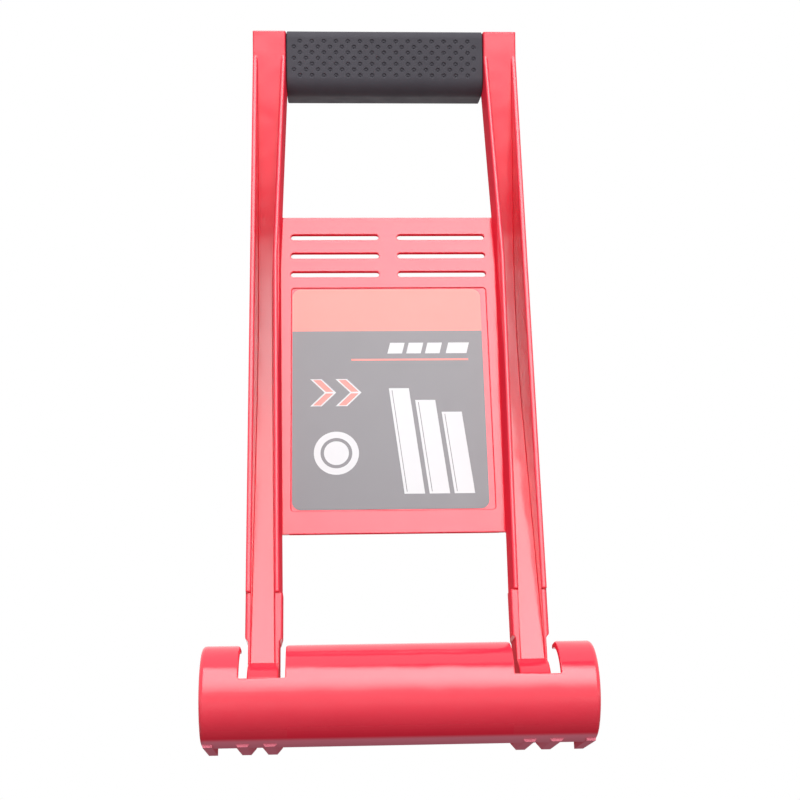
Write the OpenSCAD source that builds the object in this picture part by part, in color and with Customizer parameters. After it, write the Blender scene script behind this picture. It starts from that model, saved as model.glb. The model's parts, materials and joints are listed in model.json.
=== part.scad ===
// Panel carrier: a handled frame that tilts on a steel rod in a half-round base trough.
// Millimetres, +Z up, front towards -Y, centred on X, standing on Z = 0.

/* [Base trough] */
// Width of the trough along X
base_w = 170; // [150:1:220]
// Outer radius of the half-round front
base_r = 21.7; // [20:0.1:26]
// Wall thickness of the half-round shell
shell_t = 3; // [2:0.1:4]
// Rounding of the edge round each end wall
end_round = 2; // [0.5:0.1:3]
// Thickness of the two end walls
end_t = 3; // [2.5:0.1:5]
// How far the top edge of the shell reaches behind the pivot axis
shell_edge = 1.9; // [0:0.1:4]
// Thickness of the tray floor under the panel
floor_t = 3; // [2:0.1:4]
// Clear gap behind the frame for the panel edge
panel_gap = 20; // [13:0.5:30]
// Rise of the panel seat above the tray floor
seat_rise = 1; // [0.5:0.1:2]
// Gap between the backs of the feet and the panel seat
seat_gap = 0.8; // [0.5:0.1:2]
// Thickness of the rear lip
lip_t = 3.3; // [2:0.1:5]
// Height of the rear lip above the tray floor
lip_h = 8; // [4:0.5:20]
// Drop of the skid ribs below the half-round shell
skid_drop = 0.3; // [0.2:0.1:2]
// Reach of the skid ribs in front of the pivot axis
skid_front = 6; // [2:0.5:9]
// Reach of the skid ribs behind the pivot axis
skid_rear = 28; // [20:0.5:30]
// Thickness of a skid rib
skid_t = 4; // [2:0.1:6]
// Widening of the inner and middle skid ribs on each side towards the shell
skid_flare = 2.4; // [1:0.1:3]
// Height of that widening
skid_flare_h = 2.8; // [2:0.1:4]
// Distance of the inner skid ribs from the middle of a foot
skid_inner = 3.05; // [3:0.05:4]
// Distance of the middle skid ribs from the middle of a foot
skid_middle = 8.55; // [8:0.05:9]
// Distance of the outer skid ribs from the ends of the trough
skid_end = 3; // [2:0.1:5]
// Thickness of the ribs that carry the rod
bearing_t = 3; // [2:0.1:5]
// Radius of the round boss on a bearing rib
bearing_r = 7.2; // [6:0.1:7.5]
// Thickness of the low gussets inside the shell
gusset_t = 2; // [1.5:0.1:4]
// Spacing of the low gussets along X
gusset_pitch = 24; // [18:0.5:30]

/* [Notches] */
// Width of the notches that the rail feet stand in
notch_w = 19.8; // [17.4:0.1:20.4]
// Height of the front end of a notch above the pivot axis
notch_z = 4.7; // [3:0.1:8]
// Rounding of the notch corners at the top edge
notch_round = 2; // [0.5:0.1:3]

/* [Frame] */
// Distance from the pivot axis up to the front top edge of the frame
frame_h = 331.4; // [300:0.1:380]
// Distance from the ends of the trough to the outsides of the rails
rail_inset = 18.2; // [17.5:0.1:22]
// Width of a rail at its foot
rail_w = 16.4; // [15.5:0.1:17]
// Reach of the rail fronts in front of the pivot axis
frame_front = 6; // [5:0.1:7]
// Reach of the rail feet behind the pivot axis
frame_rear = 12; // [11.5:0.1:14]
// Thickness of the outer rail flanges
flange_t = 2.5; // [2.2:0.05:2.8]
// Thickness of the inner rail flanges at their front edges
inner_t = 2.1; // [2:0.05:2.6]
// Parting line of the inner rail sides behind the axis
part_y = 5; // [4:0.1:6.5]
// Draft of the inner flanges from the front edge back to the parting line
flange_draft = 1.2; // [0.8:0.1:2]
// Lean of the inner rail sides behind the parting line
rear_draft = 7.5; // [6:0.1:9]
// Lean of the inner channel sides
channel_draft = 3; // [2:0.1:4]
// Place of the inner front edges at their bend, from the inner side of the foot
edge_bend = 3.25; // [2.5:0.05:4]
// Place of the inner front edges at the top, from the inner side of the foot
edge_top = -0.5; // [-1:0.05:0.5]
// Height above the axis where the inner front edges bend
edge_bend_z = 208; // [200:1:215]
// Thickness of the bowed web between the flanges
web_t = 2.5; // [2:0.1:3]
// Height of the plain front face above the channel
plain_top = 12.4; // [8:0.1:20]
// Lean of the upper part of the bow
upper_tilt = 17.7; // [15:0.1:19]
// Lean of the lower part of the bow
lower_tilt = 12.5; // [11.5:0.1:13]
// Rounding of the web where the two parts meet
bow_round = 200; // [120:1:220]
// Reach of the web in front of the axis where it runs out on the hub
band_front = 3.5; // [2:0.1:4]
// Height of the web above the axis where it runs out on the hub
band_low = 13.4; // [12:0.1:14]
// Height above the axis where the front lips of the flanges end
lip_end = 44.6; // [40:0.1:48]
// Step from the front lips back to the foot
lip_step = 1.5; // [1:0.1:2]
// Top of the solid rail foot above the axis
foot_top = 50; // [48:1:60]
// Reach of the upper rail backs behind the pivot axis
upper_rear = 23.5; // [21:0.1:26]
// Lower end of the hollow behind the upper web, above the axis
hollow_low = 246; // [242:1:256]
// Wall round that hollow
hollow_wall = 3.4; // [3:0.1:4]
// Height of the lower cross rib in that hollow above the axis
back_rib_low = 268; // [264:1:274]
// Spacing of the two cross ribs
back_rib_pitch = 26; // [20:1:28]
// Thickness of the cross ribs
back_rib_t = 2; // [1.5:0.1:3]
// Thickness of the wall that closes the top of a rail
rail_cap_t = 3; // [2:0.1:5]

/* [Rail feet] */
// Width of the foot inside its notch
tenon_w = 13.6; // [12:0.1:14]
// Height above the axis where a rail narrows to its foot
tenon_top = 23; // [22:0.1:28]
// Radius of the round hub about the pivot axis
hub_r = 14.1; // [12:0.1:15]
// Width of the sloped front corners of the foot
foot_corner = 0.7; // [0.5:0.1:1]
// Depth of the sloped front corners of the foot
foot_slope = 0.4; // [0.3:0.1:2]
// Step of the inner rail sides in to the foot
foot_step = 0.3; // [0.2:0.05:0.5]
// Height of the slope where a rail narrows to its foot
tenon_slope = 1.6; // [0.5:0.1:3]

/* [Centre plate] */
// Lower edge of the plate above the axis
plate_low = 73.8; // [65:0.1:80]
// Upper edge of the plate above the axis
plate_high = 234.5; // [230:0.1:236]
// Front face of the plate behind the pivot axis
plate_y = 7; // [4:0.1:8]
// Thickness of the plate
plate_t = 2.5; // [2:0.1:3.5]
// Number of slot rows
slot_rows = 3; // [1:1:3]
// Height of the top slot row above the axis
slot_z = 223.8; // [222:0.1:225]
// Spacing of the slot rows
slot_pitch = 10; // [6:0.1:10]
// Height of a slot
slot_h = 3; // [2:0.1:4]
// Distance of the inner slot ends from the middle
slot_in = 4.5; // [3:0.1:10]
// Distance of the outer slot ends from the rails
slot_margin = 2.7; // [2:0.1:8]

/* [Label] */
// Distance of the label recess from the rails
recess_margin = 3.1; // [2:0.1:8]
// Height of the label recess
recess_h = 112; // [111:0.1:114]
// Middle of the label recess above the axis
recess_z = 140.5; // [138:0.5:141]
// Depth of the label recess
recess_d = 0.7; // [0.4:0.1:1]
// Rounding of the recess corners
recess_round = 1.5; // [0.5:0.1:3]
// Width of the recess that the label leaves bare
label_gap = 3.4; // [3:0.1:10]
// Height of the recess that the label leaves bare
label_trim = 1.4; // [1:0.1:10]
// Thickness of the label
label_t = 0.25; // [0.15:0.05:0.4]
// Rounding of the label corners
label_round = 4; // [1:0.1:8]
// Sideways offset of the label in its recess
label_x = -1.2; // [-1.2:0.1:1]

/* [Grip] */
// Step of the inner rail faces in to the ends of the grip
grip_step = 1.4; // [1:0.1:2.5]
// Height of the grip
grip_h = 32.4; // [28:0.1:34]
// Rise of the grip above the top edges of the rails
grip_rise = 0.6; // [0:0.1:1]
// Depth of the grip from front to back
grip_d = 28; // [26:0.1:31]
// Rounding of the long grip edges
grip_round = 4.5; // [4:0.1:9]
// Length of the cross-bar inside each rail
bar_in = 3.2; // [2.8:0.1:3.3]
// Wall of the soft sleeve over the cross-bar
sleeve_t = 4.5; // [3:0.1:5]

/* [Pivot] */
// Diameter of the pivot rod
rod_d = 8; // [6:0.1:9]
// Length of the pivot rod past the outer bearing ribs
rod_over = 4; // [3:0.1:6]
// Outer diameter of the thrust washers
washer_d = 14; // [12:0.1:14.2]
// Outer diameter of the push-on rod clips
clip_d = 14; // [12:0.1:16]
// Thickness of the push-on rod clips
clip_t = 1.4; // [0.8:0.1:2.5]

/* [Fits] */
// Running clearance round the rod in the hubs, on the radius
pivot_clear = 0.05; // [0.02:0.01:0.1]
// Clearance round the rod in the bearing ribs and washers, on the radius
seat_clear = 0.02; // [0.01:0.01:0.05]
// Tightness of a rod clip on the rod, on the radius
clip_bite = 0.05; // [0.02:0.01:0.08]
// Side play between a hub and its washer
side_play = 0.3; // [0.3:0.05:0.6]
// Gap between the heel of a foot and the tray floor
heel_gap = 0.3; // [0.3:0.05:0.6]
// Clearance of the sleeve round the cross-bar
sleeve_clear = 0.02; // [0.01:0.01:0.05]

/* [Hidden] */
$fn = 64;
red = [0.86, 0.16, 0.2];
black = [0.13, 0.13, 0.14];
steel = [0.7, 0.71, 0.73];
nylon = [0.9, 0.9, 0.87];
print_grey = [0.36, 0.35, 0.37];
join = 1;
// The arc of the web stands this far past its two tangents, so that it crosses them cleanly.
blend = 0.02;
far = 400;
lip_y = frame_rear + panel_gap;
base_d = base_r + lip_y + lip_t;
axis_y = base_r - base_d / 2;
axis_z = base_r + skid_drop;
floor_top = -hub_r - heel_gap;
rail_out = base_w / 2 - rail_inset;
rail_in = rail_out - rail_w;
rail_x = (rail_out + rail_in) / 2;
channel_out = rail_out - flange_t;
foot_front = frame_front - lip_step;
grip_l = 2 * (rail_in - grip_step);
top_z = frame_h - plain_top;
top_y = -frame_front - plain_top * tan(upper_tilt);
bow_z = (tan(upper_tilt) * top_z + tan(lower_tilt) * band_low - frame_front + band_front)
    / (tan(upper_tilt) + tan(lower_tilt));
bow = [(top_z - bow_z) * tan(upper_tilt) - frame_front, bow_z];
back_top = [top_y + grip_d * cos(upper_tilt), frame_h + grip_d * sin(upper_tilt)];
lean_up = atan((edge_bend - edge_top) / (frame_h - edge_bend_z));
lean_down = atan((edge_bend - flange_draft - foot_step) / (edge_bend_z - lip_end));
slot_out = rail_in - slot_margin;
recess_w = 2 * (rail_in - recess_margin);
label_w = recess_w - label_gap;
label_h = recess_h - label_trim;
bar_h = grip_h - 2 * sleeve_t;
bar_d = grip_d - 2 * sleeve_t;
bar_round = grip_round - sleeve_t / 2;
bearing_x = notch_w / 2 + bearing_t / 2;
washer_t = (notch_w - tenon_w) / 2 - side_play;
washer_x = (notch_w - washer_t) / 2;
clip_x = rail_x + notch_w / 2 + bearing_t + clip_t / 2;
rod_l = 2 * (rail_x + notch_w / 2 + bearing_t + rod_over);

// Moves what is drawn about the pivot axis to its place above the ground.
module at_axis() {
    translate([0, axis_y, axis_z]) children();
}

// Runs a side outline (Y across, Z up) along X, centred on x.
module along_x(x, width) {
    translate([x, 0, 0]) rotate([90, 0, 90]) linear_extrude(width, center = true) children();
}

// Runs a front outline (X across, Z up) from y0 back to y1.
module along_y(y0, y1) {
    translate([0, y1, 0]) rotate([90, 0, 0]) linear_extrude(y1 - y0) children();
}

// A rectangle with four round corners, centred.
module rounded_rect(width, height, r) {
    square([width - 2 * r, height], center = true);
    square([width, height - 2 * r], center = true);
    for (sx = [-1, 1])
        for (sy = [-1, 1])
            translate([sx * (width / 2 - r), sy * (height / 2 - r)]) circle(r);
}

// A bar with round ends, centred.
module stadium(width, height) {
    square([width - height, height], center = true);
    for (s = [-1, 1])
        translate([s * (width - height) / 2, 0]) circle(height / 2);
}

// A ring about the pivot axis.
module ring(x, outer, inner, width) {
    along_x(x, width) difference() {
        circle(outer);
        circle(inner);
    }
}

// Half section of the drum that gives the trough its rounded ends.
module drum_section() {
    square([base_r - end_round, base_w], center = false);
    translate([0, end_round]) square([base_r, base_w - 2 * end_round]);
    for (s = [end_round, base_w - end_round])
        translate([base_r - end_round, s]) circle(end_round);
}

// What stays of the drum in side view: the front half and the part under the tray.
module drum_side(r) {
    difference() {
        circle(r);
        translate([shell_edge, floor_top]) square([2 * base_r, 2 * base_r]);
    }
}

module half_round_shell() {
    intersection() {
        translate([-base_w / 2, 0, 0]) rotate([90, 0, 90]) rotate_extrude() drum_section();
        union() {
            along_x(0, base_w) difference() {
                drum_side(base_r + join);
                circle(base_r - shell_t);
            }
            for (s = [-1, 1])
                along_x(s * (base_w - end_t) / 2, end_t) drum_side(base_r + join);
        }
    }
}

// Tray floor with its upturned rear lip.
module tray_side() {
    translate([0, floor_top - floor_t]) square([lip_y + lip_t, floor_t]);
    translate([frame_rear + seat_gap, floor_top - floor_t / 2])
        square([panel_gap, seat_rise + floor_t / 2]);
    translate([lip_y, floor_top - floor_t]) square([lip_t, floor_t + lip_h - lip_t / 2]);
    translate([lip_y + lip_t / 2, floor_top + lip_h - lip_t / 2]) circle(lip_t / 2);
    intersection() {
        circle(base_r - shell_t / 2);
        translate([0, -base_r]) square([base_r, base_r + floor_top]);
    }
}

module skid_side() {
    difference() {
        translate([-skid_front, -axis_z])
            square([skid_front + skid_rear, axis_z + floor_top - floor_t / 2]);
        circle(base_r - shell_t / 2);
    }
}

// Skid rib with sides that spread towards the shell.
module flared_skid(x) {
    intersection() {
        along_x(x, 2 * (skid_t + skid_flare)) skid_side();
        translate([x, 0, -axis_z]) along_y(-far, far)
            polygon([[-skid_t / 2, 0], [skid_t / 2, 0], [skid_t / 2 + skid_flare, skid_flare_h],
                     [skid_t / 2 + skid_flare, base_r], [-skid_t / 2 - skid_flare, base_r],
                     [-skid_t / 2 - skid_flare, skid_flare_h]]);
    }
}

// Rib that carries the rod: a boss on a web that fills the lower part of the shell.
module bearing_side() {
    circle(bearing_r);
    intersection() {
        circle(base_r - shell_t / 2);
        translate([-base_r, -base_r]) square([base_r + bearing_r, base_r]);
    }
}

module gusset_side() {
    intersection() {
        circle(base_r - shell_t / 2);
        translate([-base_r, -base_r]) square([base_r + shell_edge, base_r - bearing_r]);
    }
}

module notch_front() {
    translate([-notch_w / 2, notch_z]) square([notch_w, base_r]);
    for (s = [-1, 1])
        translate([s * notch_w / 2, base_r - notch_round]) difference() {
            translate([-notch_round, 0]) square([2 * notch_round, 2 * notch_round]);
            translate([s * notch_round, 0]) circle(notch_round);
        }
}

module base_trough() {
    color(red) at_axis() difference() {
        union() {
            half_round_shell();
            along_x(0, base_w) tray_side();
            for (s = [-1, 1]) {
                along_x(s * (base_w / 2 - skid_end), skid_t) skid_side();
                for (x = [rail_x - skid_inner, rail_x + skid_middle])
                    flared_skid(s * x);
                for (e = [-1, 1])
                    along_x(s * rail_x + e * bearing_x, bearing_t) bearing_side();
            }
            for (i = [-1:1])
                along_x(i * gusset_pitch, gusset_t) gusset_side();
        }
        for (s = [-1, 1])
            translate([s * rail_x, 0, 0]) along_y(-2 * base_r, base_r) notch_front();
        along_x(0, base_w - 2 * end_t) circle(rod_d / 2 + seat_clear);
    }
}

module pivot_rod() {
    color(steel) at_axis() along_x(0, rod_l) circle(rod_d / 2);
}

module rod_clip(side) {
    color(steel) at_axis() ring(side * clip_x, clip_d / 2, rod_d / 2 - clip_bite, clip_t);
}

module left_rod_clip() {
    rod_clip(-1);
}

module right_rod_clip() {
    rod_clip(1);
}

// Washer on the outer (end = 1) or inner (end = -1) side of the hub on one side.
module thrust_washer(side, end) {
    color(nylon) at_axis()
        ring(side * (rail_x + end * washer_x), washer_d / 2, rod_d / 2 + seat_clear, washer_t);
}

module left_outer_washer() {
    thrust_washer(-1, 1);
}

module left_inner_washer() {
    thrust_washer(-1, -1);
}

module right_inner_washer() {
    thrust_washer(1, -1);
}

module right_outer_washer() {
    thrust_washer(1, 1);
}

// Where a circle of radius r touches the two lines of a bow that lean by up and down from p.
function touch_up(p, up, down, r) = p + r * tan((up + down) / 2) * [-sin(up), cos(up)];
function touch_down(p, up, down, r) = p + r * tan((up + down) / 2) * [-sin(down), -cos(down)];
function touch_mid(p, up, down, r) =
    p - r / cos((up + down) / 2) * [cos((up - down) / 2), sin((up - down) / 2)];

// Runs a plan (X across from the inner front edge, Y back) along that edge, which bends once.
module along_edge() {
    translate([rail_in + edge_bend, 0, edge_bend_z])
        for (lean = [-lean_up, lean_down])
            rotate([0, lean, 0]) linear_extrude(2 * far, center = true) children();
}

// Keeps what lies between x0 and x1.
module between_x(x0, x1) {
    intersection() {
        children();
        translate([x0, -far, -far]) cube([x1 - x0, 2 * far, 2 * far]);
    }
}

// Plan of the inner side of a rail, drawn in by edge: drafted to the front and to the back.
module side_plan(edge) {
    polygon([[edge + (far - frame_front) * flange_draft / (frame_front + part_y), -far],
             [edge - flange_draft, part_y],
             [edge - flange_draft + (far - part_y) * tan(rear_draft), far], [far, far],
             [far, -far]]);
}

// The space between the two sides of a rail, drawn in by edge on both sides.
module rail_space(edge) {
    between_x(grip_l / 2 + edge, rail_out - edge) along_edge() side_plan(edge);
}

// The channel in front of the bowed web.
module channel() {
    intersection() {
        between_x(rail_in, channel_out) along_edge()
            polygon([[inner_t - far * tan(channel_draft), -frame_front - far],
                     [inner_t + far * tan(channel_draft), far - frame_front],
                     [far, far - frame_front], [far, -frame_front - far]]);
        along_x(rail_x, 2 * rail_w) before_web(top_z);
    }
}

// Side view of a rail: straight in front, behind it straight or bowed with the web.
module rail_side() {
    polygon([[-frame_front, lip_end], [-frame_front, top_z], [top_y, frame_h], back_top,
             [upper_rear, back_top[1] - (upper_rear - back_top[0]) / tan(upper_tilt)],
             [upper_rear, bow[1]], [frame_rear, foot_top], [frame_rear, lip_end]]);
    intersection() {
        translate([web_t, 0]) before_web(top_z);
        translate([0, foot_top]) square([far, top_z - foot_top]);
    }
}

// All that lies in front of the bowed web, in side view, up to the height high.
module before_web(high) {
    polygon([[-far, high], [(top_z - high) * tan(upper_tilt) - frame_front, high],
             touch_up(bow, upper_tilt, lower_tilt, bow_round),
             touch_down(bow, upper_tilt, lower_tilt, bow_round),
             [-band_front - band_low * tan(lower_tilt), 0], [-far, 0]]);
    intersection() {
        translate(touch_mid(bow, upper_tilt, lower_tilt, bow_round)) circle(bow_round + blend, $fn = 288);
        square([far, high]);
    }
}

// The hollow behind the upper web, in side view, with its cross ribs left standing.
module back_hollow_side() {
    difference() {
        translate([top_y, frame_h]) rotate(upper_tilt)
            translate([0, -far - rail_cap_t]) square([far, far]);
        translate([-far, -far]) square([3 * far, far + hollow_low]);
        translate([web_t, 0]) before_web(frame_h + grip_d);
        for (i = [0, 1])
            translate([-far / 2, back_rib_low + i * back_rib_pitch]) square([far, back_rib_t]);
    }
}

module rail() {
    difference() {
        intersection() {
            rail_space(0);
            along_x(rail_x, 2 * rail_w) rail_side();
        }
        channel();
        intersection() {
            rail_space(hollow_wall);
            along_x(rail_x, 2 * rail_w) back_hollow_side();
        }
    }
}

// Plan of a foot with its two front corners sloped.
module foot_plan() {
    polygon([[rail_in + (frame_rear - part_y) * tan(rear_draft), frame_rear],
             [rail_in, part_y], [rail_in, foot_slope - foot_front],
             [rail_in + foot_corner, -foot_front], [rail_out - foot_corner, -foot_front],
             [rail_out, foot_slope - foot_front], [rail_out, frame_rear]]);
}

// Front view of a foot that narrows to the width of its notch.
module foot_front_view() {
    polygon([[-tenon_w / 2, 0], [tenon_w / 2, 0], [tenon_w / 2, tenon_top],
             [rail_w / 2, tenon_top + tenon_slope], [rail_w / 2, lip_end],
             [-rail_w / 2, lip_end], [-rail_w / 2, tenon_top + tenon_slope],
             [-tenon_w / 2, tenon_top]]);
}

module foot() {
    difference() {
        union() {
            difference() {
                intersection() {
                    linear_extrude(lip_end) foot_plan();
                    translate([rail_x, 0, 0]) along_y(-far, far) foot_front_view();
                }
                channel();
            }
            along_x(rail_x, tenon_w) circle(hub_r);
            along_x(rail_x, tenon_w) translate([0, -hub_r]) square([frame_rear, hub_r]);
        }
        along_x(rail_x, 2 * rail_w) circle(rod_d / 2 + pivot_clear);
    }
}

// Places a section in line with the upper part of the bow, below its top edge.
module at_grip() {
    translate([top_y, frame_h]) rotate(upper_tilt)
        translate([grip_d / 2, grip_rise - grip_h / 2]) children();
}

module cross_bar() {
    along_x(0, grip_l + 2 * bar_in) at_grip() rounded_rect(bar_d, bar_h, bar_round);
}

// The six slots, in front view.
module slots_front() {
    for (i = [0:slot_rows - 1])
        for (s = [-1, 1])
            translate([s * (slot_in + slot_out) / 2, slot_z - i * slot_pitch])
                stadium(slot_out - slot_in, slot_h);
}

module centre_plate() {
    difference() {
        along_y(plate_y, plate_y + plate_t) difference() {
            translate([-rail_in - edge_bend, plate_low])
                square([2 * (rail_in + edge_bend), plate_high - plate_low]);
            slots_front();
        }
        along_y(plate_y - join, plate_y + recess_d)
            translate([0, recess_z]) rounded_rect(recess_w, recess_h, recess_round);
    }
}

module carrier_frame() {
    color(red) at_axis() {
        for (s = [0, 1])
            mirror([s, 0, 0]) {
                rail();
                foot();
            }
        cross_bar();
        centre_plate();
    }
}

module handle_grip() {
    color(black) at_axis() along_x(0, grip_l) at_grip() difference() {
        rounded_rect(grip_d, grip_h, grip_round);
        rounded_rect(bar_d + 2 * sleeve_clear, bar_h + 2 * sleeve_clear, bar_round + sleeve_clear);
    }
}

module label_sticker() {
    color(print_grey) at_axis() along_y(plate_y + recess_d - label_t, plate_y + recess_d)
        translate([label_x, recess_z]) rounded_rect(label_w, label_h, label_round);
}

base_trough();
pivot_rod();
left_rod_clip();
right_rod_clip();
left_outer_washer();
left_inner_washer();
right_inner_washer();
right_outer_washer();
carrier_frame();
handle_grip();
label_sticker();
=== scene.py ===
# %% [markdown]
# # A one-hand panel carrier
# The carrier is a red moulded frame with a soft black grip. It tilts on a steel rod inside a
# half-round trough, and the lower edge of a board stands on the tray behind that trough. The solids
# come from the CAD model, already in place, so this lesson only dresses them: soft edges, finishes,
# a dimpled grip, a printed label, and a small studio round it all. Everything is in metres.

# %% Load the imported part
import json
import math

import bpy
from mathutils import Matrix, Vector


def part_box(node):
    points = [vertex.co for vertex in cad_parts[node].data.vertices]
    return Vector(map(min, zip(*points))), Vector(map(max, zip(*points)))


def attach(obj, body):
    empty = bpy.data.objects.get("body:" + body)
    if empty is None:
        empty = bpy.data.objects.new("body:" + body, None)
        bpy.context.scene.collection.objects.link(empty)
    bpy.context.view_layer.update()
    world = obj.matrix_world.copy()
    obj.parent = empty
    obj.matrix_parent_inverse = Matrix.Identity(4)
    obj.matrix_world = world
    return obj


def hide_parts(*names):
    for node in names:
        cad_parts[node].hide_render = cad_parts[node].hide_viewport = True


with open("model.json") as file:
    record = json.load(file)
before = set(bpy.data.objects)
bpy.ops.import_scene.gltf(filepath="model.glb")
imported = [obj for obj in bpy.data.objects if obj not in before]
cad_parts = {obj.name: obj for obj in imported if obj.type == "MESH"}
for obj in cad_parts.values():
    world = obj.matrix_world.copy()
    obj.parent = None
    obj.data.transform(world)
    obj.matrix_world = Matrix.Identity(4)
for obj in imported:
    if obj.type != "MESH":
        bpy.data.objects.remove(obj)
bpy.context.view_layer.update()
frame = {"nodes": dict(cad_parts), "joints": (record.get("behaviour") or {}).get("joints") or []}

MM = 0.001
nodes = frame["nodes"]
axis = Vector(frame["joints"][0]["pos_m"])
print("loaded", len(nodes), "nodes; pivot axis at", [round(v, 4) for v in axis])

# %% [markdown]
# ## Camera
# The photograph was taken from a little below the trough, looking up along the frame, with the
# camera slightly left of the middle. A long lens keeps the rails almost parallel. A camera can be
# nudged by eye until the picture fits, but a place worked out from the outlines of the trough and
# the rails fits everywhere at once. It is given from the pivot axis, because that is what the
# picture was measured against.

# %% Camera
CAMERA_FROM_AXIS = Vector((-0.02834, -0.62151, -0.08594))
CAMERA_TURN = (109.625, 1.331, -2.477)
CAMERA_LENS = 63.54
CAMERA_SENSOR = 36.0

camera_data = bpy.data.cameras.new("camera")
camera_data.lens = CAMERA_LENS
camera_data.sensor_width = CAMERA_SENSOR
camera = bpy.data.objects.new("camera", camera_data)
camera.location = axis + CAMERA_FROM_AXIS
camera.rotation_euler = [math.radians(a) for a in CAMERA_TURN]
bpy.context.collection.objects.link(camera)
bpy.context.scene.camera = camera
bpy.context.scene.view_settings.view_transform = "Standard"
print("camera at", [round(v, 4) for v in camera.location])

# %% [markdown]
# ## Node helpers
# A material is a small graph of nodes. It could be wired by hand in the editor, but a script can be
# read and run again. A few helpers keep the graphs readable: some add one node and fill its inputs
# with numbers or with other nodes' outputs, and the rest start a material or a group, or place a
# group in a graph.

# %% Helpers for single nodes
def fill(tree, socket, value):
    """Give an input a plain value, or a link from another node's output."""
    if isinstance(value, bpy.types.NodeSocket):
        tree.links.new(value, socket)
    else:
        socket.default_value = value


def wire(tree, kind, inputs=None, **settings):
    """Add a node, set its properties and then fill its inputs."""
    made = tree.nodes.new(kind)
    for name, value in settings.items():
        setattr(made, name, value)
    for name, value in (inputs or {}).items():
        fill(tree, made.inputs[name], value)
    return made


def maths(tree, operation, *values):
    """One step of arithmetic."""
    return wire(tree, "ShaderNodeMath", dict(enumerate(values)), operation=operation).outputs[0]


def split(tree, vector):
    """The X, Y and Z of a vector."""
    return wire(tree, "ShaderNodeSeparateXYZ", {0: vector}).outputs


def ramp(tree, value, start, end, low=0.0, high=1.0):
    """A smooth step from low to high while the value goes from start to end."""
    return wire(tree, "ShaderNodeMapRange", {"Value": value, "From Min": start, "From Max": end,
                                             "To Min": low, "To Max": high},
                interpolation_type="SMOOTHSTEP").outputs[0]


def within(tree, value, low, high):
    """1 where the value lies between low and high, and 0 elsewhere."""
    return maths(tree, "MULTIPLY", maths(tree, "GREATER_THAN", value, low),
                 maths(tree, "LESS_THAN", value, high))


def lay(tree, under, mask, over):
    """One colour, with another laid over it where the mask is 1."""
    mixed = wire(tree, "ShaderNodeMix", {"Factor": mask}, data_type="RGBA")
    colours = [socket for socket in mixed.inputs if socket.type == "RGBA"]
    for socket, colour in zip(colours, (under, over)):
        fill(tree, socket, colour)
    return next(socket for socket in mixed.outputs if socket.type == "RGBA")


print("helpers for single nodes ready")


# %% Helpers for materials and groups
def new_material(name):
    material = bpy.data.materials.new(name)
    material.use_nodes = True
    tree = material.node_tree
    tree.nodes.clear()
    shader = wire(tree, "ShaderNodeBsdfPrincipled")
    wire(tree, "ShaderNodeOutputMaterial", {"Surface": shader.outputs["BSDF"]})
    return material, tree, shader


def new_group(name, inputs, outputs):
    tree = bpy.data.node_groups.new(name, "ShaderNodeTree")
    for label, default in inputs.items():
        socket = tree.interface.new_socket(label, in_out="INPUT", socket_type="NodeSocketFloat")
        socket.default_value = default
    for label in outputs:
        tree.interface.new_socket(label, in_out="OUTPUT", socket_type="NodeSocketFloat")
    return tree, wire(tree, "NodeGroupInput").outputs, wire(tree, "NodeGroupOutput").inputs


def place_group(tree, group, **values):
    placed = wire(tree, "ShaderNodeGroup", node_tree=group)
    for name, value in values.items():
        fill(tree, placed.inputs[name.replace("_", " ")], value)
    return placed.outputs


print("helpers for materials and groups ready")

# %% [markdown]
# ## Studio floor
# The object stands on a pale floor. A paper sweep would do in most pictures, but here the camera is
# lower than the floor, so the floor's underside is made clear with the Backfacing switch, and it
# fades out before its edges. Soft light also passes it, as if the floor were a thin white cloth, so
# the ribs under the trough aren't black. Mirrored in the glossy trough, its colour is painted darker
# close to the object: painted shade, standing in for the shade the object casts there.

# %% Floor
FLOOR_HALF = 1.4
FLOOR_DROP = 0.2 * MM
FLOOR_GREY = 0.80
FLOOR_ROUGHNESS = 0.9
FLOOR_GLOSS = 0.1
FLOOR_FADE = (0.3, 1.2)
# Painted shade on the floor, seen only in mirrors: how far from the axis it reaches, and its tone.
SHADE_REACH = (0.012, 0.060)
SHADE_TONE = (0.2, 1.0)

floor_mesh = bpy.data.meshes.new("floor")
floor_mesh.from_pydata([(x * FLOOR_HALF, y * FLOOR_HALF, -FLOOR_DROP) for x, y in
                        ((-1, -1), (1, -1), (1, 1), (-1, 1))], [], [(0, 1, 2, 3)])
floor = bpy.data.objects.new("floor", floor_mesh)
bpy.context.collection.objects.link(floor)
floor_paint, tree, shader = new_material("floor_paint")
shader.inputs["Roughness"].default_value = FLOOR_ROUGHNESS
shader.inputs["Specular IOR Level"].default_value = FLOOR_GLOSS
path = wire(tree, "ShaderNodeLightPath").outputs
spot = wire(tree, "ShaderNodeNewGeometry").outputs
from_axis = maths(tree, "SUBTRACT", split(tree, spot["Position"])["Y"], axis.y)
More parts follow.
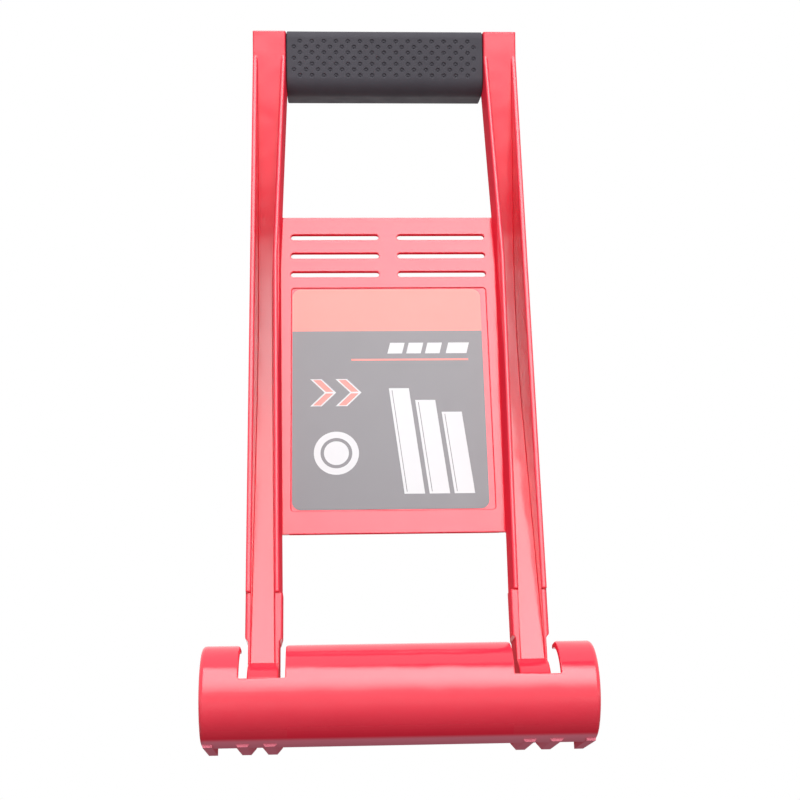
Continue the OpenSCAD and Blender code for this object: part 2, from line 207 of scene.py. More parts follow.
# Painted shade: for mirror rays the floor's colour is painted darker close to the pivot axis.
painted_shade = ramp(tree, maths(tree, "ABSOLUTE", from_axis), *SHADE_REACH, *SHADE_TONE)
tone = wire(tree, "ShaderNodeMapRange", {"Value": path["Is Glossy Ray"], "To Min": FLOOR_GREY,
                                         "To Max": painted_shade})
tree.links.new(tone.outputs[0], shader.inputs["Base Color"])
reach = wire(tree, "ShaderNodeVectorMath", {0: spot["Position"]}, operation="LENGTH")
faded = maths(tree, "MULTIPLY", path["Is Camera Ray"],
              ramp(tree, reach.outputs["Value"], *FLOOR_FADE))
through = maths(tree, "MAXIMUM", spot["Backfacing"], path["Is Diffuse Ray"])
clear = wire(tree, "ShaderNodeBsdfTransparent")
one_sided = wire(tree, "ShaderNodeMixShader", {0: maths(tree, "MAXIMUM", through, faded),
                                               1: shader.outputs["BSDF"],
                                               2: clear.outputs["BSDF"]})
tree.links.new(one_sided.outputs["Shader"], tree.nodes["Material Output"].inputs["Surface"])
floor_mesh.materials.append(floor_paint)
print("floor", 2 * FLOOR_HALF, "m wide")

# %% [markdown]
# ## Studio room
# The white behind the object is the world: plain white to the camera, in mirrors and through glass.
# A white wall could be built instead, but it would need its own light. The soft light that the world
# gives is that of a room with a bright ceiling, dim walls and a lighter front.

# %% World
WALL_LIGHT = 0.28
FRONT_LIGHT = 0.55
CEILING_LIGHT = 0.9
FRONT_TURN = (-0.95, -0.2)
CEILING_TURN = (0.2, 0.85)

world = bpy.data.worlds.new("studio")
bpy.context.scene.world = world
world.use_nodes = True
tree = world.node_tree
tree.nodes.clear()
toward = split(tree, wire(tree, "ShaderNodeTexCoord").outputs["Generated"])
wall = ramp(tree, toward["Y"], *FRONT_TURN, FRONT_LIGHT, WALL_LIGHT)
room = maths(tree, "ADD", wall, ramp(tree, toward["Z"], *CEILING_TURN, 0.0, CEILING_LIGHT))
path = wire(tree, "ShaderNodeLightPath").outputs
seen = maths(tree, "MAXIMUM", path["Is Camera Ray"], path["Is Glossy Ray"])
seen = maths(tree, "MAXIMUM", seen, path["Is Transmission Ray"])
level = wire(tree, "ShaderNodeMapRange", {"Value": seen, "To Min": room, "To Max": 1.0})
sky = wire(tree, "ShaderNodeBackground", {"Color": (1, 1, 1, 1), "Strength": level.outputs[0]})
wire(tree, "ShaderNodeOutputWorld", {"Surface": sky.outputs[0]})
print("walls give", WALL_LIGHT, "to", FRONT_LIGHT, "and the ceiling", CEILING_LIGHT, "more")

# %% [markdown]
# ## Softbox
# The main light is one tall softbox in front, leaning over the object. It is far away, so that the
# plate and the lower rails mirror it while the leaning upper rails mirror the floor below it, which
# is what makes the red pale in some places and deep in others. An area lamp has the same brightness
# all over. This is a glowing sheet instead, so its cloth can be brightest in the upper half and fade
# out towards the bottom, and a little towards the left, and so do the highlights.

# %% Softbox
SOFTBOX_LOW = Vector((0.10, -3.26, -0.40))
SOFTBOX_HIGH = Vector((0.10, -1.5, 2.85))
SOFTBOX_WIDTH = 1.8
SOFTBOX_RADIANCE = 6.9
FOOT_FADE = (-0.06, 0.53)
TOP_FADE = (0.95, 1.19)
TOP_SLANT = 0.4
LEFT_FADE = (0.3, 0.7)
LEFT_LEVEL = 0.87

across = Vector((SOFTBOX_WIDTH / 2, 0, 0))
softbox_mesh = bpy.data.meshes.new("softbox")
softbox_mesh.from_pydata([SOFTBOX_LOW - across, SOFTBOX_LOW + across, SOFTBOX_HIGH + across,
                          SOFTBOX_HIGH - across], [], [(3, 2, 1, 0)])
softbox = bpy.data.objects.new("softbox", softbox_mesh)
softbox.visible_camera = False
bpy.context.collection.objects.link(softbox)
cloth = bpy.data.materials.new("softbox_cloth")
cloth.use_nodes = True
tree = cloth.node_tree
tree.nodes.clear()
along = split(tree, wire(tree, "ShaderNodeTexCoord").outputs["Generated"])
slant = maths(tree, "ADD", along["Z"], maths(tree, "MULTIPLY", along["X"], TOP_SLANT))
glow = maths(tree, "MULTIPLY", ramp(tree, along["Z"], *FOOT_FADE),
             ramp(tree, slant, *TOP_FADE, 1.0, 0.0))
glow = maths(tree, "MULTIPLY", glow, ramp(tree, along["X"], *LEFT_FADE, LEFT_LEVEL, 1.0))
light = wire(tree, "ShaderNodeEmission",
             {"Strength": maths(tree, "MULTIPLY", glow, SOFTBOX_RADIANCE)})
wire(tree, "ShaderNodeOutputMaterial", {"Surface": light.outputs["Emission"]})
softbox_mesh.materials.append(cloth)
softbox_height = (SOFTBOX_HIGH - SOFTBOX_LOW).length
print("softbox", SOFTBOX_WIDTH, "m wide and", round(softbox_height, 2), "m tall")

# %% [markdown]
# ## Moulded surfaces
# No moulded surface is perfectly even. Its colour drifts a little over a hand's width, its gloss is
# broken by fine haze, and the skin has a fine grain and shallow sink marks, which make the edges of
# highlights wander. Each finish could have its own noise, but then a change would be made five
# times. One node group makes all of it, and every finish places it with its own strengths. Grain and
# sink sizes are in millimetres.

# %% Group for mould haze
DRIFT_PER_METRE = 22
HAZE_PER_METRE = 140
SINKS_PER_METRE = 62
HAZE_SPREAD = (0.3, 0.7)

haze, given, result = new_group(
    "mould_haze",
    {"Drift": 0.06, "Rough low": 0.1, "Rough high": 0.2, "Grain size": 0.4, "Grain height": 0.002,
     "Sink height": 0.0},
    ["Tint", "Roughness", "Height"])
place = wire(haze, "ShaderNodeTexCoord").outputs["Object"]


def noise(scale, detail):
    """Soft noise about the object, as a value round a half."""
    return wire(haze, "ShaderNodeTexNoise", {"Vector": place, "Scale": scale,
                                             "Detail": detail}).outputs["Fac"]


centred = maths(haze, "SUBTRACT", noise(DRIFT_PER_METRE, 3), 0.5)
haze.links.new(maths(haze, "MULTIPLY_ADD", centred, given["Drift"], 1.0), result["Tint"])
rough = wire(haze, "ShaderNodeMapRange",
             {"Value": noise(HAZE_PER_METRE, 4), "From Min": HAZE_SPREAD[0],
              "From Max": HAZE_SPREAD[1], "To Min": given["Rough low"],
              "To Max": given["Rough high"]})
haze.links.new(rough.outputs[0], result["Roughness"])
grain = noise(maths(haze, "DIVIDE", 1 / MM, given["Grain size"]), 2)
height = maths(haze, "MULTIPLY", grain, given["Grain height"])
height = maths(haze, "MULTIPLY_ADD", noise(SINKS_PER_METRE, 1), given["Sink height"], height)
haze.links.new(maths(haze, "MULTIPLY", height, MM), result["Height"])
print("group", haze.name, "with", len(haze.nodes), "nodes")

# %% [markdown]
# ## Soft edges
# A mould can't make a knife edge, and the thin light line along a rounded edge is what makes plastic
# look like plastic. The CAD solids have sharp edges. One plain bevel would round them all alike, so
# a chain of modifiers does it by place. First the triangles are welded and the flat ones merged into
# whole faces. Then a small geometry group looks at the fold of every edge and writes down how much
# it is to be rounded: ridges by one amount, grooves by another, the thin rims on the plate by less,
# and nothing below the sole, where edges stay crisp. Last, a bevel reads that and large faces keep
# their flat shading.

# %% Places on the frame
# Distances behind the pivot axis, from the middle and above the axis. NEAR and CLOSE say how close
# to such a place an edge has to be.
LIP_FRONT = -6.0 * MM
FOOT_FRONT = -4.5 * MM
PLATE_FRONT = 7.0 * MM
RIM_DEPTH = (-0.3 * MM, 1.0 * MM)
PLATE_SIDE = 50 * MM
CHANNEL_SIDES = (53.2 * MM, 65.5 * MM)
TROUGH_END = 84 * MM
LIP_END = 44.6 * MM
NEAR = 0.5 * MM
CLOSE = 0.1 * MM
ROUND_UNIT = 1.2 * MM
ROUND_AMOUNTS = ("Ridge", "Groove", "Lip", "Root", "Rim", "Ledge", "End")
print("edges told apart:", ", ".join(ROUND_AMOUNTS).lower())


# %% Group for edge rounding
def blend(tree, mask, low, high):
    """Low where the mask is 0, high where it is 1."""
    return maths(tree, "MULTIPLY_ADD", mask, maths(tree, "SUBTRACT", high, low), low)


folds = bpy.data.node_groups.new("edge_rounding", "GeometryNodeTree")
folds.interface.new_socket("Geometry", in_out="INPUT", socket_type="NodeSocketGeometry")
fold_inputs = {"Least fold": 12.0, **dict.fromkeys(ROUND_AMOUNTS, 0.4), "Sole": 0.0}
for label, default in fold_inputs.items():
    socket = folds.interface.new_socket(label, in_out="INPUT", socket_type="NodeSocketFloat")
    socket.default_value = default
folds.interface.new_socket("Geometry", in_out="OUTPUT", socket_type="NodeSocketGeometry")
given = wire(folds, "NodeGroupInput").outputs
spot = split(folds, wire(folds, "GeometryNodeInputPosition").outputs[0])
behind = maths(folds, "SUBTRACT", spot["Y"], axis.y)
aside = maths(folds, "ABSOLUTE", spot["X"])
above = maths(folds, "SUBTRACT", spot["Z"], axis.z)

at_lip = maths(folds, "LESS_THAN", behind, LIP_FRONT + NEAR)
at_root = maths(folds, "MULTIPLY", within(folds, aside, *CHANNEL_SIDES),
                maths(folds, "GREATER_THAN", behind, FOOT_FRONT - NEAR))
at_ledge = maths(folds, "MULTIPLY", within(folds, above, LIP_END - CLOSE, LIP_END + CLOSE),
                 maths(folds, "GREATER_THAN", behind, FOOT_FRONT + CLOSE))
at_rim = maths(folds, "MULTIPLY", maths(folds, "LESS_THAN", aside, PLATE_SIDE),
               within(folds, behind, *(PLATE_FRONT + depth for depth in RIM_DEPTH)))
below_sole = maths(folds, "LESS_THAN", spot["Z"], maths(folds, "MULTIPLY", given["Sole"], MM))

fold = wire(folds, "GeometryNodeInputMeshEdgeAngle").outputs["Signed Angle"]
fold = maths(folds, "DEGREES", fold)
ridge = maths(folds, "GREATER_THAN", fold, given["Least fold"])
groove = maths(folds, "LESS_THAN", fold, maths(folds, "MULTIPLY", given["Least fold"], -1.0))
at_end = maths(folds, "MULTIPLY", ridge, maths(folds, "GREATER_THAN", aside, TROUGH_END))
on_ridge = blend(folds, at_lip, given["Ridge"], given["Lip"])
on_ridge = blend(folds, at_rim, on_ridge, given["Rim"])
on_groove = blend(folds, at_root, given["Groove"], given["Root"])
on_groove = blend(folds, at_rim, on_groove, given["Rim"])
amount = maths(folds, "ADD", maths(folds, "MULTIPLY", ridge, on_ridge),
               maths(folds, "MULTIPLY", groove, on_groove))
amount = blend(folds, at_ledge, amount, given["Ledge"])
amount = blend(folds, at_end, amount, given["End"])
amount = blend(folds, below_sole, amount, 0.0)

crease = maths(folds, "MULTIPLY", below_sole, maths(folds, "ADD", ridge, groove))
crisp = wire(folds, "GeometryNodeSetShadeSmooth",
             {"Geometry": given["Geometry"], "Selection": crease, "Shade Smooth": False},
             domain="EDGE")
stored = wire(folds, "GeometryNodeStoreNamedAttribute",
              {"Geometry": crisp.outputs["Geometry"], "Name": "bevel_weight_edge",
               "Value": maths(folds, "MULTIPLY", amount, MM / ROUND_UNIT)},
              data_type="FLOAT", domain="EDGE")
wire(folds, "NodeGroupOutput", {"Geometry": stored.outputs["Geometry"]})
print("group", folds.name, "with", len(folds.nodes), "nodes")

# %% Round the moulded edges
WELD_GAP = 0.1 * MM
FLAT_ANGLE = math.radians(0.4)
FLAT_WEIGHT = 80


def soften(piece, segments=3, **amounts):
    """Round a piece's edges. The amounts are millimetres, and the least fold is in degrees."""
    weld = piece.modifiers.new("weld", "WELD")
    weld.merge_threshold = WELD_GAP
    flat = piece.modifiers.new("flat_faces", "DECIMATE")
    flat.decimate_type = "DISSOLVE"
    flat.angle_limit = FLAT_ANGLE
    weights = piece.modifiers.new("edge_rounding", "NODES")
    weights.node_group = folds
    for item in folds.interface.items_tree:
        label = item.name.replace(" ", "_").lower()
        if item.in_out == "INPUT" and label in amounts:
            weights[item.identifier] = float(amounts[label])
    bevel = piece.modifiers.new("soft_edges", "BEVEL")
    bevel.width = ROUND_UNIT
    bevel.segments = segments
    bevel.limit_method = "WEIGHT"
    bevel.miter_outer = "MITER_ARC"
    bevel.use_clamp_overlap = False
    shading = piece.modifiers.new("even_shading", "WEIGHTED_NORMAL")
    shading.keep_sharp = True
    shading.weight = FLAT_WEIGHT
    for face in piece.data.polygons:
        face.use_smooth = True


soften(nodes["carrier_frame"], least_fold=12, ridge=0.45, groove=0.45, lip=0.8,
       root=0.3, rim=0.3, ledge=0.1)
soften(nodes["base_trough"], least_fold=26, ridge=0.5, groove=0.5, lip=0.5, root=0.5, rim=0.5,
       end=0.75, sole=5.2)
print("edges rounded on the frame and the trough")

# %% [markdown]
# ## Red moulded plastic
# Frame and trough are the same glossy red. Plain red gloss would look like a toy, so the colour goes
# on the shader through the haze group, the gloss is a fairly low roughness, and the refractive index
# is that of the real plastic, so the softbox mirrors in it at the right strength. Faces that look
# inward, to the middle of the frame, and the upper walls of the slots were dragged along the core of
# the mould as it opened, so they are dull. The ground scuffs the skids under the trough and its
# lowest line matt, and there the red is painted pale pink: a painted reflection of the pale floor.
# All these places are told from the piece's own space, so they stay put when the frame tilts.

# %% Helpers for finishes
PLASTIC_IOR = 1.6


def paint(tree, shader, colour, haze_out, matt=0.0):
    """Colour, roughness and bump through the haze. Matt is added to the roughness."""
    tinted = wire(tree, "ShaderNodeVectorMath", {0: colour, "Scale": haze_out["Tint"]},
                  operation="SCALE")
    tree.links.new(tinted.outputs[0], shader.inputs["Base Color"])
    tree.links.new(maths(tree, "ADD", haze_out["Roughness"], matt), shader.inputs["Roughness"])
    bump = wire(tree, "ShaderNodeBump", {"Height": haze_out["Height"], "Strength": 1.0,
                                         "Distance": 1.0})
    tree.links.new(bump.outputs["Normal"], shader.inputs["Normal"])
    return bump


def dress(piece, material):
    piece.data.materials.clear()
    piece.data.materials.append(material)


print("plastics have a refractive index of", PLASTIC_IOR)

# %% Red plastic
RED = (0.86, 0.030, 0.062, 1)
FULL_GLOSS = 0.5
DULL_GLOSS = 0.02
DULL_FACING = (0.6, 0.9)
CHANNEL_REACH = (53 * MM, 67.5 * MM)
PLATE_REACH = 48 * MM
# The pale pink low on the trough is a painted reflection of the pale floor, laid into the red.
PAINTED_REFLECTION_PINK = (0.88, 0.24, 0.32, 1)
PAINTED_REFLECTION_HEIGHTS = (1.7 * MM, 3.15 * MM)
SCUFF_GLOSS_HEIGHTS = (2 * MM, 8 * MM)

red_plastic, tree, shader = new_material("red_plastic")
shader.inputs["IOR"].default_value = PLASTIC_IOR
place = split(tree, wire(tree, "ShaderNodeTexCoord").outputs["Object"])
normal = wire(tree, "ShaderNodeVectorTransform",
              {0: wire(tree, "ShaderNodeNewGeometry").outputs["True Normal"]},
              vector_type="NORMAL", convert_from="WORLD", convert_to="OBJECT")
facing = split(tree, normal.outputs[0])
to_middle = maths(tree, "SIGN", maths(tree, "MULTIPLY", place["X"], -1.0))
in_channel = within(tree, maths(tree, "ABSOLUTE", place["X"]), *CHANNEL_REACH)
inward = maths(tree, "MULTIPLY", maths(tree, "MULTIPLY", facing["X"], to_middle),
               maths(tree, "SUBTRACT", 1.0, in_channel))
downward = maths(tree, "MULTIPLY", maths(tree, "MULTIPLY", facing["Z"], -1.0),
                 within(tree, place["X"], -PLATE_REACH, PLATE_REACH))
gloss = ramp(tree, maths(tree, "MAXIMUM", inward, downward), *DULL_FACING, FULL_GLOSS, DULL_GLOSS)
gloss = maths(tree, "MULTIPLY", gloss, ramp(tree, place["Z"], *SCUFF_GLOSS_HEIGHTS))
tree.links.new(gloss, shader.inputs["Specular IOR Level"])
# Painted reflection: below these heights the red turns pale pink.
painted_reflection = ramp(tree, place["Z"], *PAINTED_REFLECTION_HEIGHTS, 1.0, 0.0)
paint(tree, shader, lay(tree, RED, painted_reflection, PAINTED_REFLECTION_PINK),
      place_group(tree, haze, Drift=0.08, Rough_low=0.11, Rough_high=0.15, Grain_size=0.5,
                  Grain_height=0.0012, Sink_height=0.3),
      matt=maths(tree, "SUBTRACT", FULL_GLOSS, gloss))
dress(nodes["carrier_frame"], red_plastic)
dress(nodes["base_trough"], red_plastic)
print("red plastic on the frame and the trough")

# %% [markdown]
# ## Soft grip
# The grip is a rubber sleeve on the cross-bar, a rounded rectangle that leans with the upper rails
# and is rounder below, where the fingers and the palm close round it. Its front has staggered rows
# of small dimples: a ring-shaped groove with a dome left in the middle. A bump in the material would
# look flat from the side, so they are real shape, and the sleeve is built as a fine grid: along the
# bar, and round its section. On the front, the dimples push the points of that grid in.

# %% Grip sizes
GRIP_LEAN = math.radians(17.7)
GRIP_HEIGHT = 32.4 * MM
GRIP_DEPTH = 28 * MM
GRIP_ROUND = 4.5 * MM
FINGER_ROUND = 8.5 * MM
PALM_ROUND = 7 * MM
SLEEVE_WALL = 4.4 * MM
END_REACH = 0.7 * MM
END_ROUND = 0.5 * MM

grip_low, grip_high = (Vector(corner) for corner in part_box("handle_grip"))
grip_middle = (grip_low + grip_high) / 2
grip_half = (grip_high.x - grip_low.x) / 2 + END_REACH
print("grip", round(2 * grip_half / MM, 1), "mm long, middle", [round(v, 4) for v in grip_middle])

# %% Grip section
# The corners go from the lower front round the bottom, back and top. Each has its place and the
# angle where its arc starts. Then comes how much coarser than the finest grid each arc is, and each
# flat side that follows it. The front, which has the dimples, is the last side and the finest.
CORNERS = ((-1, -1, 180), (1, -1, 270), (1, 1, 0), (-1, 1, 90))
ARC_COARSE = (1.5, 2.5, 2.5, 2.5)
SIDE_COARSE = (6, 6, 6, 1)
LEAST_ARC_STEPS = 6
LEAST_SIDE_STEPS = 2
GRID = 0.19 * MM
BORE_GRID = 2 * MM


def section(depth, height, rounds, spacing):
    """Points of a rounded rectangle, each with its outward normal."""
    points = []
    for i, (sx, sy, start) in enumerate(CORNERS):
        r = rounds[i]
        cx, cy = sx * (depth / 2 - r), sy * (height / 2 - r)
        steps = max(LEAST_ARC_STEPS, round(r * math.pi / 2 / (spacing * ARC_COARSE[i])))
        for k in range(steps):
            a = math.radians(start + 90 * k / steps)
            points.append((cx + r * math.cos(a), cy + r * math.sin(a), math.cos(a), math.sin(a)))
        following = (i + 1) % len(CORNERS)
        sx2, sy2, start2 = CORNERS[following]
        r2 = rounds[following]
        na, nu = math.cos(math.radians(start2)), math.sin(math.radians(start2))
        x0, y0 = cx + r * na, cy + r * nu
        x1, y1 = sx2 * (depth / 2 - r2) + r2 * na, sy2 * (height / 2 - r2) + r2 * nu
        length = math.hypot(x1 - x0, y1 - y0)
        steps = max(LEAST_SIDE_STEPS, round(length / (spacing * SIDE_COARSE[i])))
        for k in range(steps):
            t = k / steps
            points.append((x0 + (x1 - x0) * t, y0 + (y1 - y0) * t, na, nu))
    return points


outer = section(GRIP_DEPTH, GRIP_HEIGHT, (FINGER_ROUND, PALM_ROUND, GRIP_ROUND, GRIP_ROUND), GRID)
inner = section(GRIP_DEPTH - 2 * SLEEVE_WALL, GRIP_HEIGHT - 2 * SLEEVE_WALL,
                [GRIP_ROUND - SLEEVE_WALL / 2] * len(CORNERS), BORE_GRID)
print("section of", len(outer), "outer and", len(inner), "inner points")

# %% Dimples
DIMPLE_ROWS = 7
ROW_PITCH = 2.9 * MM
COLUMN_PITCH = 6.08 * MM
FIELD_SHIFT = -0.45 * MM
LONG_ROW = 16
FIELD_RISE = 1.4 * MM
DIMPLE_RADIUS = 1.25 * MM
GROOVE_RADIUS = 0.78 * MM
GROOVE_DEPTH = 0.6 * MM
FRONT_EDGE = -GRIP_DEPTH / 2 + GRIP_ROUND * 0.6


def dimple_depth(x, up):
    """How far the front is pushed in at x along the bar and up the front face."""
    nearest = round((up - FIELD_RISE) / ROW_PITCH)
    depth = 0.0
    for row in (nearest - 1, nearest, nearest + 1):
        if abs(row) > DIMPLE_ROWS // 2:
            continue
        long_row = (row + DIMPLE_ROWS // 2) % 2 == 1
        count = LONG_ROW if long_row else LONG_ROW - 1
        first = FIELD_SHIFT - (count - 1) / 2 * COLUMN_PITCH
        column = min(max(round((x - first) / COLUMN_PITCH), 0), count - 1)
        away = math.hypot(x - first - column * COLUMN_PITCH, up - FIELD_RISE - row * ROW_PITCH)
        if away < DIMPLE_RADIUS:
            inside = away / GROOVE_RADIUS if away < GROOVE_RADIUS else (
                1 - (away - GROOVE_RADIUS) / (DIMPLE_RADIUS - GROOVE_RADIUS))
            depth = max(depth, GROOVE_DEPTH * inside * inside * (3 - 2 * inside))
    return depth


print("dimples:", DIMPLE_ROWS // 2 * LONG_ROW + (DIMPLE_ROWS + 1) // 2 * (LONG_ROW - 1))

# %% Grip points
END_ANGLES = (30, 60, 90)


def on_grip(x, across, up):
    """A point of the leaning section, as a place in the room."""
    lean_c, lean_s = math.cos(GRIP_LEAN), math.sin(GRIP_LEAN)
    return (x, grip_middle.y + across * lean_c - up * lean_s,
            grip_middle.z + across * lean_s + up * lean_c)


def grip_stations():
    """Places along the bar: an even grid, with a few more round each end."""
    straight = grip_half - END_ROUND
    steps = round(2 * straight / GRID)
    flat = [-straight + 2 * straight * k / steps for k in range(steps + 1)]
    bend = [grip_half - END_ROUND * math.cos(math.radians(a)) for a in END_ANGLES]
    return [-x for x in reversed(bend)] + flat + bend


stations = grip_stations()
verts = []
for x in stations:
    past = max(0.0, abs(x) - (grip_half - END_ROUND))
    pull = END_ROUND - math.sqrt(max(0.0, END_ROUND ** 2 - past ** 2))
    for across, up, na, nu in outer:
        push = pull + (dimple_depth(x, up) if across < FRONT_EDGE else 0.0)
        verts.append(on_grip(x, across - na * push, up - nu * push))
skin_count = len(verts)
for x in (-grip_half, grip_half):
    verts += [on_grip(x, across, up) for across, up, *_ in inner]
print("grip points:", skin_count, "on the skin and", len(verts) - skin_count, "on the bore")

# %% Grip mesh
ring, bore = len(outer), len(inner)
faces = []
for s in range(len(stations) - 1):
    for k in range(ring):
        a, b = s * ring + k, s * ring + (k + 1) % ring
        faces.append((a, b, b + ring, a + ring))
for end, station in enumerate((0, len(stations) - 1)):
    skin = [station * ring + k for k in range(ring)]
    hole = [skin_count + end * bore + k for k in range(bore)]
    for k in range(ring):
        j, j2 = k * bore // ring, (k + 1) * bore // ring % bore
        face = [skin[k], skin[(k + 1) % ring], hole[j2]] + ([hole[j]] if j != j2 else [])
        faces.append(tuple(face[::-1] if end else face))
for k in range(bore):
    a, b = skin_count + k, skin_count + (k + 1) % bore
    faces.append((a, a + bore, b + bore, b))

grip_mesh = bpy.data.meshes.new("dimpled_grip")
grip_mesh.from_pydata(verts, [], faces)
grip_mesh.validate()
grip_mesh.shade_smooth()
grip = bpy.data.objects.new("dimpled_grip", grip_mesh)
bpy.context.collection.objects.link(grip)
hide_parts("handle_grip")
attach(grip, "frame")
print("grip mesh of", len(verts), "points and", len(faces), "faces")

# %% Grip rubber
RUBBER = (0.062, 0.058, 0.070)
RUBBER_IOR = 1.5
RUBBER_GLOSS = 0.18

rubber, tree, shader = new_material("grip_rubber")
shader.inputs["IOR"].default_value = RUBBER_IOR
shader.inputs["Specular IOR Level"].default_value = RUBBER_GLOSS
paint(tree, shader, RUBBER, place_group(tree, haze, Drift=0.25, Rough_low=0.58, Rough_high=0.70,
                                        Grain_size=0.25, Grain_height=0.008))
dress(grip, rubber)
print("rubber on the grip")

# %% [markdown]
# ## Printed label
# The film in the recess of the plate has an orange band over a grey field with simple white and
# orange shapes. A picture file would blur close up. Here the shapes are drawn by arithmetic on the
# place of each point, so the print is sharp at any size. Two small groups do the drawing, a leaning
# bar and a ring, and the label places them many times. Its sizes are in millimetres from the middle
# of the film.

# %% Groups for print shapes
def shape_group(name, sizes):
    """Start a group that draws one shape, with the distances from the shape's middle."""
    group, given, result = new_group(name, {"X": 0, "Z": 0, "Middle X": 0, "Middle Z": 0, **sizes},
                                     ["Mask"])
    dx = maths(group, "SUBTRACT", given["X"], given["Middle X"])
    dz = maths(group, "SUBTRACT", given["Z"], given["Middle Z"])
    return group, given, result, dx, dz


bar_shape, given, result, dx, dz = shape_group(
    "print_bar", {"Half width": 1, "Half height": 1, "Lean": 0})
dx = maths(bar_shape, "SUBTRACT", dx, maths(bar_shape, "MULTIPLY", dz, given["Lean"]))
in_x = maths(bar_shape, "LESS_THAN", maths(bar_shape, "ABSOLUTE", dx), given["Half width"])
in_z = maths(bar_shape, "LESS_THAN", maths(bar_shape, "ABSOLUTE", dz), given["Half height"])
bar_shape.links.new(maths(bar_shape, "MULTIPLY", in_x, in_z), result["Mask"])

ring_shape, given, result, dx, dz = shape_group("print_ring", {"Radius": 1, "Half line": 1})
away = maths(ring_shape, "SQRT", maths(ring_shape, "ADD", maths(ring_shape, "MULTIPLY", dx, dx),
                                       maths(ring_shape, "MULTIPLY", dz, dz)))
off = maths(ring_shape, "ABSOLUTE", maths(ring_shape, "SUBTRACT", away, given["Radius"]))
ring_shape.links.new(maths(ring_shape, "LESS_THAN", off, given["Half line"]), result["Mask"])
print("groups", bar_shape.name, "and", ring_shape.name)

# %% Label sizes and film
PRINT_GREY = (0.105, 0.088, 0.104, 1)
PRINT_ORANGE = (0.80, 0.145, 0.110, 1)
PRINT_WHITE = (0.56, 0.55, 0.57, 1)

label_low, label_high = (Vector(corner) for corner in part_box("label_sticker"))
label_middle = (label_low + label_high) / 2
label_half = (label_high - label_low) / 2 / MM

label_film, tree, shader = new_material("label_film")
shader.inputs["IOR"].default_value = PLASTIC_IOR
place = split(tree, wire(tree, "ShaderNodeTexCoord").outputs["Object"])
label_x = maths(tree, "MULTIPLY_ADD", place["X"], 1 / MM, -label_middle.x / MM)
label_z = maths(tree, "MULTIPLY_ADD", place["Z"], 1 / MM, -label_middle.z / MM)


def bar(x, z, width, height, lean=0.0):
    return place_group(tree, bar_shape, X=label_x, Z=label_z, Middle_X=x, Middle_Z=z,
                       Half_width=width / 2, Half_height=height / 2, Lean=lean)["Mask"]


def ring_mark(x, z, radius, line):
    return place_group(tree, ring_shape, X=label_x, Z=label_z, Middle_X=x, Middle_Z=z,
                       Radius=radius, Half_line=line / 2)["Mask"]


print("label", [round(2 * v, 1) for v in (label_half.x, label_half.z)], "mm wide and high")

# %% Label print
# The band goes a little past the film, so that the film's edge is orange too.
BAND_HEIGHT = 21.9
BAND_PAST_SIDES, BAND_PAST_TOP = 1, 0.01
DASHES = ((4, 7), (13, 7), (22, 7), (33.5, 10))
DASH_RISE, DASH_HEIGHT, DASH_LEAN = 24.5, 5.5, 0.25
RULE_MIDDLE, RULE_RISE, RULE_WIDTH, RULE_LINE = 10.5, 18.6, 56, 0.9
POSTS = ((8, 52), (20, 46), (32, 40))
POST_FOOT, POST_WIDTH, POST_LEAN = -48, 9.5, -0.12
POST_LINE, POST_LINE_SHIFT, POST_LINE_SHORTER = 0.35, -3.4, 2
CHEVRON_PLACES = (-31, -19)
CHEVRON_RISE, CHEVRON_ARM = 2, 3.4
CHEVRON_LAYERS = ((5.4, 6.8, PRINT_WHITE), (3.6, 6.0, PRINT_ORANGE))
DISC_PLACE, DISC_WIDTH = (-25, -28), 21
RING_RADIUS, RING_LINE = 6.6, 1.6

band = bar(0, label_half.z - BAND_HEIGHT / 2, 2 * label_half.x + BAND_PAST_SIDES,
           BAND_HEIGHT + BAND_PAST_TOP)
ink = lay(tree, PRINT_GREY, band, PRINT_ORANGE)
for x, width in DASHES:
    ink = lay(tree, ink, bar(x, DASH_RISE, width, DASH_HEIGHT, DASH_LEAN), PRINT_WHITE)
ink = lay(tree, ink, bar(RULE_MIDDLE, RULE_RISE, RULE_WIDTH, RULE_LINE), PRINT_ORANGE)
for x, height in POSTS:
    middle = POST_FOOT + height / 2
    ink = lay(tree, ink, bar(x, middle, POST_WIDTH, height, POST_LEAN), PRINT_WHITE)
    ink = lay(tree, ink, bar(x + POST_LINE_SHIFT, middle, POST_LINE, height - POST_LINE_SHORTER,
                             POST_LEAN), PRINT_GREY)
for x in CHEVRON_PLACES:
    for side in (1, -1):
        for width, height, colour in CHEVRON_LAYERS:
            arm = bar(x, CHEVRON_RISE + side * CHEVRON_ARM, width, height, -side)
            ink = lay(tree, ink, arm, colour)
ink = lay(tree, ink, ring_mark(*DISC_PLACE, 0, DISC_WIDTH), PRINT_WHITE)
ink = lay(tree, ink, ring_mark(*DISC_PLACE, RING_RADIUS, RING_LINE), PRINT_GREY)
paint(tree, shader, ink, place_group(tree, haze, Drift=0.10, Rough_low=0.16, Rough_high=0.24,
                                     Grain_size=0.6, Grain_height=0.0015))
dress(nodes["label_sticker"], label_film)
print("label printed with", len(tree.nodes), "nodes")

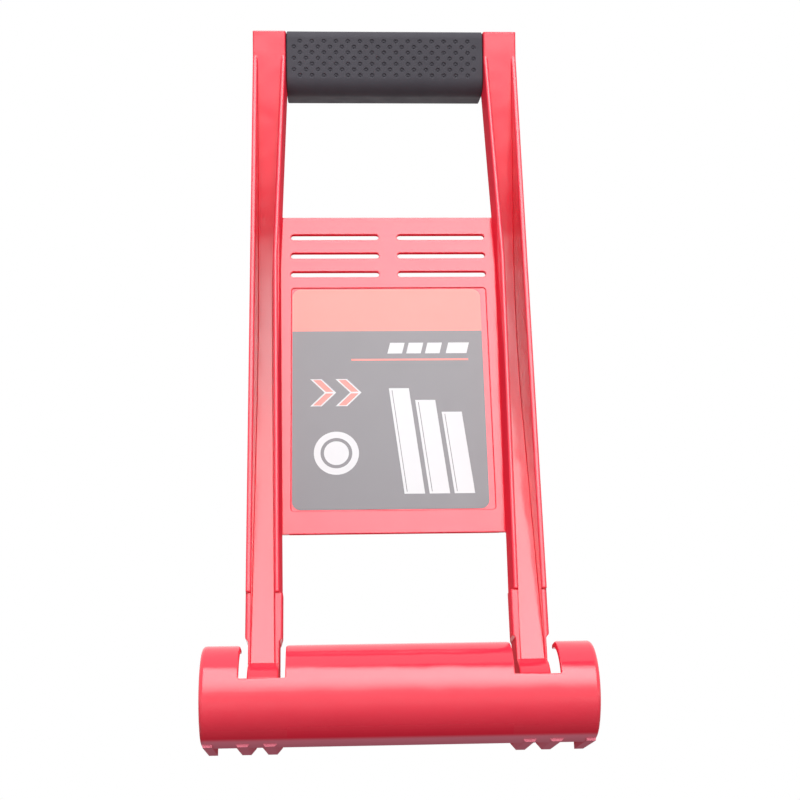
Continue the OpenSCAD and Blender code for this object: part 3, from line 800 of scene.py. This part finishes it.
# %% [markdown]
# ## Rod, clips and washers
# The pivot rod is drawn steel with fine lines along its length. The clips are the same steel, and the
# washers are natural nylon, a milky plastic. They are mostly hidden in the trough, but they show from
# behind. Modelled lines would be too fine to see, so noise that is stretched along the rod makes them
# in the bump.

# %% Drawn steel
STEEL = (0.60, 0.61, 0.63)
LINES_PER_METRE = (40, 2600, 2600)
LINE_HEIGHT = 0.004 * MM

drawn_steel, tree, shader = new_material("drawn_steel")
shader.inputs["Metallic"].default_value = 1.0
stretched = wire(tree, "ShaderNodeMapping",
                 {"Vector": wire(tree, "ShaderNodeTexCoord").outputs["Object"],
                  "Scale": LINES_PER_METRE})
lines = wire(tree, "ShaderNodeTexNoise", {"Vector": stretched.outputs[0], "Scale": 1.0,
                                          "Detail": 3})
steel_haze = place_group(tree, haze, Drift=0.2, Rough_low=0.28, Rough_high=0.42, Grain_size=0.3,
                         Grain_height=0.002)
bump = paint(tree, shader, STEEL, steel_haze)
line_height = maths(tree, "MULTIPLY_ADD", lines.outputs["Fac"], LINE_HEIGHT, steel_haze["Height"])
tree.links.new(line_height, bump.inputs["Height"])
print("drawn steel with", len(tree.nodes), "nodes")

# %% Milky nylon
NYLON = (0.80, 0.78, 0.71)
NYLON_MILK = 0.15
NYLON_SCATTER = (0.002, 0.002, 0.0015)

milky_nylon, tree, shader = new_material("milky_nylon")
shader.inputs["Subsurface Weight"].default_value = NYLON_MILK
shader.inputs["Subsurface Radius"].default_value = NYLON_SCATTER
shader.inputs["Subsurface Scale"].default_value = 1.0
paint(tree, shader, NYLON, place_group(tree, haze, Drift=0.08, Rough_low=0.35, Rough_high=0.5,
                                       Grain_size=0.4, Grain_height=0.003))
print("milky nylon with", len(tree.nodes), "nodes")

# %% Dress the small pieces
for name, piece in nodes.items():
    if name.endswith("washer"):
        dress(piece, milky_nylon)
        soften(piece, 2, least_fold=30, ridge=0.2, lip=0.2, rim=0.2)
    elif name == "pivot_rod" or name.endswith("clip"):
        dress(piece, drawn_steel)
        soften(piece, 2, least_fold=30, ridge=0.3, lip=0.3, rim=0.3)
print("steel on the rod and clips, nylon on the washers")
